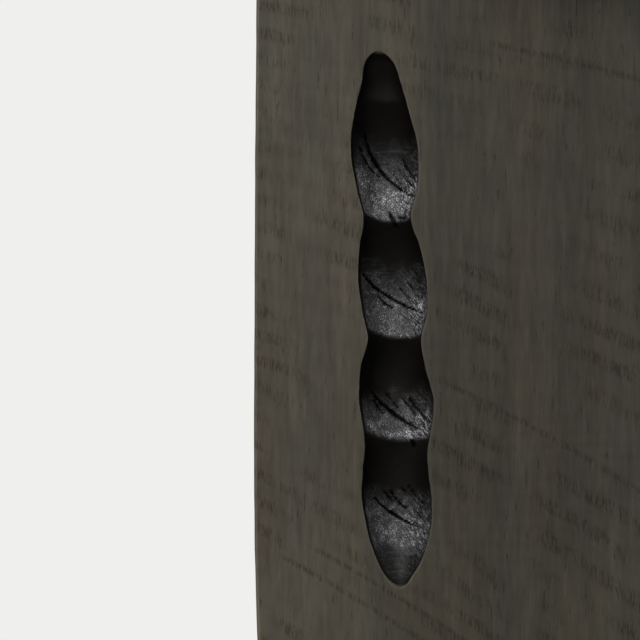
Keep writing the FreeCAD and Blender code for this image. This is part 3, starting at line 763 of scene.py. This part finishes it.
class Shader:
    """A material under construction: add() makes a node and links or sets its inputs."""

    def __init__(self, name):
        self.material = bpy.data.materials.new(name)
        self.material.use_nodes = True
        self.tree = self.material.node_tree
        self.tree.nodes.clear()

    def add(self, kind, inputs=None, **settings):
        node = self.tree.nodes.new(kind)
        for key, value in settings.items():
            setattr(node, key, value)
        for key, value in (inputs or {}).items():
            if isinstance(value, bpy.types.NodeSocket):
                self.tree.links.new(value, node.inputs[key])
            else:
                node.inputs[key].default_value = value
        return node

    def math(self, operation, a, b=0.0, clamp=False):
        return self.add("ShaderNodeMath", {0: a, 1: b}, operation=operation, use_clamp=clamp).outputs[0]

    def mix(self, factor, a, b):
        """Mixes two colours."""
        node = self.add("ShaderNodeMix", {0: factor, 6: a, 7: b}, data_type="RGBA")
        return node.outputs[2]

    def blend(self, factor, a, b):
        """Mixes two plain numbers."""
        return self.add("ShaderNodeMix", {0: factor, 2: a, 3: b}, data_type="FLOAT").outputs[0]

    def multiply(self, colour, by):
        return self.add(
            "ShaderNodeMix", {0: 1.0, 6: colour, 7: by}, data_type="RGBA", blend_type="MULTIPLY"
        ).outputs[2]

    def attribute(self, name):
        return self.add("ShaderNodeAttribute", attribute_name=name).outputs["Fac"]

    def place(self, scale):
        """The surface point in the frame, in metres, times scale along each axis."""
        coordinates = self.add("ShaderNodeTexCoord").outputs["Object"]
        return self.add("ShaderNodeMapping", {0: coordinates, 3: scale}).outputs[0]

    def noise(self, scale, detail=3.0, rough=0.55, distortion=0.0):
        """Fractal noise with that many features to the metre along each axis."""
        return self.noise_at(self.place(scale), detail, rough, distortion)

    def noise_at(self, vector, detail, rough, distortion=0.0):
        sockets = {"Vector": vector, "Scale": 1.0, "Detail": detail, "Roughness": rough}
        sockets["Distortion"] = distortion
        return self.add("ShaderNodeTexNoise", sockets).outputs["Fac"]

    def noise_along_tears(self, x, y, z):
        """Fine strands inside a groove that run down and inwards, as the wood tears."""
        inward = self.math("SUBTRACT", GROOVE_OFFSET * MM, self.math("ABSOLUTE", x))
        across = self.math(
            "ADD", self.math("MULTIPLY", inward, TEAR_DOWN), self.math("MULTIPLY", z, TEAR_INWARD)
        )
        down = self.math(
            "SUBTRACT", self.math("MULTIPLY", inward, TEAR_INWARD), self.math("MULTIPLY", z, TEAR_DOWN)
        )
        vector = self.add("ShaderNodeCombineXYZ", {0: across, 1: y, 2: down}).outputs[0]
        vector = self.add("ShaderNodeMapping", {0: vector, 3: (3300, 900, 420)}).outputs[0]
        return self.noise_at(vector, 2.0, 0.5)

    def ramp(self, value, low, high, to_low=0.0, to_high=1.0):
        """Runs from to_low to to_high as value goes from low to high."""
        node = self.add(
            "ShaderNodeMapRange",
            {0: value, 1: low, 2: high, 3: to_low, 4: to_high},
            interpolation_type="SMOOTHSTEP",
        )
        return node.outputs[0]

    def finish(self, colour, roughness, bump_height, bump_distance, specular):
        bump = self.add("ShaderNodeBump", {"Height": bump_height, "Strength": 1.0, "Distance": bump_distance})
        sockets = {"Base Color": colour, "Roughness": roughness, "Normal": bump.outputs[0]}
        sockets["Specular IOR Level"] = specular
        wood = self.add("ShaderNodeBsdfPrincipled", sockets)
        self.add("ShaderNodeOutputMaterial", {"Surface": wood.outputs[0]})
        return self.material


def along(axis, across_scale, along_scale):
    """Noise scale for wood whose grain runs along an axis, 0 for x and 2 for z."""
    return tuple(along_scale if i == axis else across_scale for i in range(3))


def wood_grain(shader, axis, tones):
    """Colour, shade and height of smoked wood: broad bands, fibres and short dark pores along the grain."""
    light, dark = tones
    bands = shader.noise(along(axis, 190, 11), detail=5, rough=0.65, distortion=0.5)
    fibres = shader.noise(along(axis, 1050, 110), detail=5, rough=0.6)
    mottle = shader.noise(along(axis, 420, 110), detail=3, rough=0.6)
    pores = shader.noise(along(axis, 2100, 190), detail=3)
    clouds = shader.noise(along(axis, 150, 14), detail=4)
    colour = shader.mix(shader.ramp(bands, 0.3, 0.7), dark, light)
    tint = shader.mix(shader.ramp(clouds, 0.3, 0.7), WARM_TINT, COOL_TINT)
    colour = shader.multiply(colour, tint)
    fine = shader.ramp(fibres, 0.28, 0.72, 0.88, 1.12)
    shade = shader.math("MULTIPLY", fine, shader.ramp(mottle, 0.3, 0.7, 0.89, 1.11))
    hole = shader.ramp(pores, 0.66, 0.76)
    shade = shader.math("MULTIPLY", shade, shader.math("SUBTRACT", 1.0, shader.math("MULTIPLY", hole, 0.16)))
    height = shader.math("SUBTRACT", fibres, hole)
    return colour, shade, height


def slab_material():
    """Sawn wood outside, black gouged wood inside the grooves, with painted light, highlights and shadow."""
    shader = Shader("smoked_sawn_wood")
    split = shader.add("ShaderNodeSeparateXYZ", {0: shader.place((1, 1, 1))})
    x, z = split.outputs[0], split.outputs[2]
    edge = shader.math("SUBTRACT", 0.0415, shader.math("MULTIPLY", z, 0.068))
    wander = shader.math("MULTIPLY", shader.math("SUBTRACT", shader.noise((60, 60, 14), 3), 0.5), 0.016)
    outward = shader.math("SUBTRACT", shader.math("ADD", shader.math("ABSOLUTE", x), wander), edge)
    sapwood = shader.ramp(outward, -0.004, 0.005)
    light, dark = (shader.mix(sapwood, inner, outer) for inner, outer in zip(HEARTWOOD, SAPWOOD))
    colour, shade, height = wood_grain(shader, 2, (light, dark))
    slope = shader.math("SUBTRACT", SAW_SLOPE, shader.math("MULTIPLY", z, SAW_EASE / MM))
    run = shader.math("ADD", z, shader.math("MULTIPLY", shader.math("SUBTRACT", x, SAW_START * MM), slope))
    drift = shader.math("MULTIPLY", shader.noise((40, 40, 60), 2), 0.006)
    turns = shader.math("MULTIPLY", shader.math("ADD", run, drift), 2 * math.pi / (SAW_PITCH * MM))
    wave = shader.math("SINE", turns)
    dashes = shader.noise((3000, 3000, 480), 3, 0.6)
    patches = shader.noise((70, 70, 45), 3)
    kerf = shader.math("MULTIPLY", shader.ramp(wave, -0.5, 0.9), shader.ramp(dashes, 0.4, 0.7))
    kerf = shader.math("MULTIPLY", kerf, shader.ramp(patches, 0.42, 0.62))
    for mark, seen_from in SAW_LINES:
        near = shader.math("ABSOLUTE", shader.math("SUBTRACT", run, mark * MM))
        line = shader.ramp(near, 0.0, 0.001, 1.0, 0.0)
        line = shader.math("MULTIPLY", line, shader.ramp(dashes, 0.4, 0.62))
        line = shader.math("MULTIPLY", line, shader.ramp(x, (seen_from - 2) * MM, (seen_from + 2) * MM))
        kerf = shader.math("MAXIMUM", kerf, shader.math("MULTIPLY", line, 0.8))
    shade = shader.math("MULTIPLY", shade, shader.math("SUBTRACT", 1.0, shader.math("MULTIPLY", kerf, 0.5)))
    # Arrises and rounded edges are painted lighter, for wear and as a highlight.
    worn = shader.attribute("worn")
    pale = shader.ramp(shader.noise((800, 800, 42), 2), 0.68, 0.78, 0.0, 0.3)
    shade = shader.math("ADD", shade, shader.math("ADD", pale, shader.math("MULTIPLY", worn, 0.7)))
    # Painted light: the sawn face is painted up to 1.28 times lighter towards the slab's foot.
    shade = shader.math("MULTIPLY", shade, shader.ramp(z, 0.02, 0.056, 1.28, 1.0))
    colour = shader.multiply(colour, shader.mix(kerf, NO_TINT, KERF_TINT))
    sawn = shader.multiply(colour, shade)
    carved, torn_and_lit, tear, painted_glint = (shader.attribute(name) for name in LOOKS[:4])
    grit = shader.noise((4600, 4600, 4000), 2, 0.6)
    clumps = shader.noise((900, 900, 750), 3)
    strands = shader.noise_along_tears(x, split.outputs[1], z)
    from_middle = shader.math("ABSOLUTE", x)
    slack = shader.ramp(from_middle, (GROOVE_OFFSET - 3) * MM, (GROOVE_OFFSET + 1) * MM, 0.0, 0.25)
    combed = shader.ramp(from_middle, (GROOVE_OFFSET - 4) * MM, GROOVE_OFFSET * MM, 0.75, 0.1)
    combed = shader.math("MULTIPLY", shader.math("SUBTRACT", strands, 0.5), combed)
    broken = shader.math("ADD", grit, combed)
    broken = shader.math("ADD", broken, shader.math("MULTIPLY", shader.math("SUBTRACT", clumps, 0.5), 0.45))
    # Painted light: grey sparkle of torn fibres, strongest on the lower part of each scoop, where it would be
    # lit; the upper parts stay black.
    spark = shader.ramp(broken, 0.47, 0.78)
    shine = shader.math("MULTIPLY", shader.math("ADD", shader.math("MULTIPLY", spark, 0.93), 0.07), torn_and_lit)
    strand_light = shader.ramp(shader.math("ADD", strands, slack), 0.34, 0.46, 0.15, 1.0)
    shine = shader.math("MULTIPLY", shine, strand_light)
    # Painted highlights: the glint patches lift the lit grey further.
    lift = shader.math("ADD", shader.math("MULTIPLY", painted_glint, 0.75), 0.5)
    shine = shader.math("MULTIPLY", shine, lift)
    chatter = shader.ramp(shader.noise((260, 400, 2700), 3, 0.6), 0.5, 0.72, 0.0, 0.045)
    half_torn_and_lit = shader.math("SUBTRACT", shader.ramp(torn_and_lit, 0.0, 0.12), torn_and_lit)
    chatter = shader.math("MULTIPLY", chatter, half_torn_and_lit)
    shine = shader.math("ADD", shine, chatter)
    black = shader.mix(shine, CUT_BLACK, TORN_AND_LIT_GREY)
    # Painted shadow: the tears are painted near black.
    black = shader.mix(tear, black, TEAR_SHADOW_BLACK)
    colour = shader.mix(carved, sawn, black)
    sawn_rough = shader.ramp(height, 0.0, 0.8, 0.8, 0.66)
    roughness = shader.blend(carved, sawn_rough, shader.blend(torn_and_lit, 0.6, 0.42))
    specular = shader.blend(carved, 0.3, shader.blend(torn_and_lit, 0.12, 0.5))
    rough_cut = shader.math("ADD", grit, shader.math("MULTIPLY", combed, 1.8))
    coarseness = shader.math("ADD", shader.math("MULTIPLY", torn_and_lit, 2.2), 0.2)
    rough_cut = shader.math("MULTIPLY", rough_cut, coarseness)
    sawn_height = shader.math("SUBTRACT", height, shader.math("MULTIPLY", kerf, 0.6))
    height = shader.blend(carved, sawn_height, rough_cut)
    return shader.finish(colour, roughness, height, 0.0001, specular)


def board_material():
    """The hewn wood of the cradle and foot board, its grain along x, darker and glossier where polished."""
    shader = Shader("smoked_hewn_wood")
    colour, shade, height = wood_grain(shader, 0, HEWN_WOOD)
    polished = shader.attribute("polished")
    shade = shader.math("MULTIPLY", shade, shader.blend(polished, 1.0, 0.82))
    roughness = shader.blend(polished, shader.ramp(height, 0.0, 0.8, 0.74, 0.58), 0.36)
    height = shader.math("MULTIPLY", height, shader.blend(polished, 1.0, 0.35))
    return shader.finish(shader.multiply(colour, shade), roughness, height, 0.00009, 0.4)


def pin_material(axis):
    """Darker, redder hardwood of the pegs and wedges."""
    shader = Shader(f"pin_wood_{'xyz'[axis]}")
    colour, shade, height = wood_grain(shader, axis, PIN_WOOD)
    roughness = shader.ramp(height, 0.0, 0.8, 0.66, 0.5)
    return shader.finish(shader.multiply(colour, shade), roughness, height, 0.00008, 0.4)


# The studio. Each lamp has a place and a size in metres, and a power in watts.

LAMPS = {
    "key": ((-0.6, -1.05, 0.46), 0.5, 5.6),
    "fill": ((0.9, -0.9, 0.5), 0.9, 1.0),
    "rear": ((0.3, 1.1, 0.9), 0.9, 9.0),
    "skim": ((-0.14, -0.5, 1.0), 0.14, 7.3),
}
LAMP_TARGET = Vector((-0.02, 0, 0.09))
FLOOR_RADIUS, FLOOR_FADE_START = 0.33, 0.12


def make_floor():
    """A round pale floor that fades out at its edge."""
    rings, spokes = 12, 96
    points, faces = [(0, 0, 0)], []
    for ring in range(1, rings + 1):
        for spoke in range(spokes):
            angle = 2 * math.pi * spoke / spokes
            reach = FLOOR_RADIUS * ring / rings
            points.append((reach * math.cos(angle), reach * math.sin(angle), 0))
    faces += [(0, 1 + i, 1 + (i + 1) % spokes) for i in range(spokes)]
    for ring in range(rings - 1):
        start = 1 + ring * spokes
        for i in range(spokes):
            after = (i + 1) % spokes
            faces.append((start + i, start + spokes + i, start + spokes + after, start + after))
    mesh = bpy.data.meshes.new("floor")
    mesh.from_pydata(points, [], faces)
    floor = bpy.data.objects.new("floor", mesh)
    bpy.context.scene.collection.objects.link(floor)
    shader = Shader("pale_floor")
    split = shader.add("ShaderNodeSeparateXYZ", {0: shader.place((1, 1, 0))})
    squares = [shader.math("MULTIPLY", split.outputs[i], split.outputs[i]) for i in (0, 1)]
    away = shader.math("SQRT", shader.math("ADD", *squares))
    fade = shader.ramp(away, FLOOR_FADE_START, FLOOR_RADIUS)
    pale = shader.add("ShaderNodeBsdfDiffuse", {"Color": (0.88, 0.88, 0.87, 1)})
    clear = shader.add("ShaderNodeBsdfTransparent")
    both = shader.add("ShaderNodeMixShader", {0: fade, 1: pale.outputs[0], 2: clear.outputs[0]})
    shader.add("ShaderNodeOutputMaterial", {"Surface": both.outputs[0]})
    mesh.materials.append(shader.material)


def make_light(name, lights_only=()):
    """A square soft box that points at the slab's middle. It can be kept to a few pieces, as with flags."""
    place, size, energy = LAMPS[name]
    data = bpy.data.lights.new(name, "AREA")
    data.shape, data.size, data.energy = "SQUARE", size, energy
    lamp = bpy.data.objects.new(name, data)
    lamp.location = place
    lamp.rotation_euler = (LAMP_TARGET - Vector(place)).to_track_quat("-Z", "Y").to_euler()
    bpy.context.scene.collection.objects.link(lamp)
    if lights_only:
        chosen = bpy.data.collections.new(name + "_lights")
        for piece in lights_only:
            chosen.objects.link(piece)
        lamp.light_linking.receiver_collection = chosen
        lamp.light_linking.blocker_collection = chosen


def make_world():
    """A white studio: the camera sees it bright, and it lights the object less, as a far backdrop would."""
    world = bpy.data.worlds.new("studio")
    bpy.context.scene.world = world
    world.use_nodes = True
    tree = world.node_tree
    tree.nodes.clear()
    seen = tree.nodes.new("ShaderNodeBackground")
    seen.inputs["Color"].default_value = (0.866, 0.866, 0.852, 1)
    lit = tree.nodes.new("ShaderNodeBackground")
    lit.inputs["Color"].default_value = (0.16, 0.16, 0.162, 1)
    path = tree.nodes.new("ShaderNodeLightPath")
    mix = tree.nodes.new("ShaderNodeMixShader")
    out = tree.nodes.new("ShaderNodeOutputWorld")
    tree.links.new(path.outputs["Is Camera Ray"], mix.inputs[0])
    tree.links.new(lit.outputs[0], mix.inputs[1])
    tree.links.new(seen.outputs[0], mix.inputs[2])
    tree.links.new(mix.outputs[0], out.inputs[0])


def make_camera():
    """Square on to the front of the slab, level, from about a metre, framing its left half and one groove."""
    framed_height, distance = 115.2 * MM, 0.9
    data = bpy.data.cameras.new("camera")
    data.lens = data.sensor_width / 2 / (framed_height / 2 / distance)
    data.clip_start, data.clip_end = 0.05, 20
    camera = bpy.data.objects.new("camera", data)
    across = (GROOVE_OFFSET + 13.06) * MM
    camera.location = (-across, SLAB_LOW[1] * MM - distance, GROOVE_HEIGHT * MM)
    camera.rotation_euler = (math.pi / 2, 0, 0)
    bpy.context.scene.collection.objects.link(camera)
    bpy.context.scene.camera = camera


def build():
    bpy.context.scene.view_settings.view_transform = "Standard"
    make_camera()
    make_world()
    for name in ("key", "fill", "rear"):
        make_light(name)
    make_floor()
    board = board_material()
    slab = make_slab(slab_material())
    make_light("skim", [slab])
    make_cradle(board)
    make_foot(board)
    for side in ("left", "right"):
        make_peg(f"drawbore_peg_{side}", pin_material(1))
    upright = pin_material(2)
    for name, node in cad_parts.items():
        if name.startswith("tenon_wedge"):
            node.data.materials.clear()
            node.data.materials.append(upright)


build()
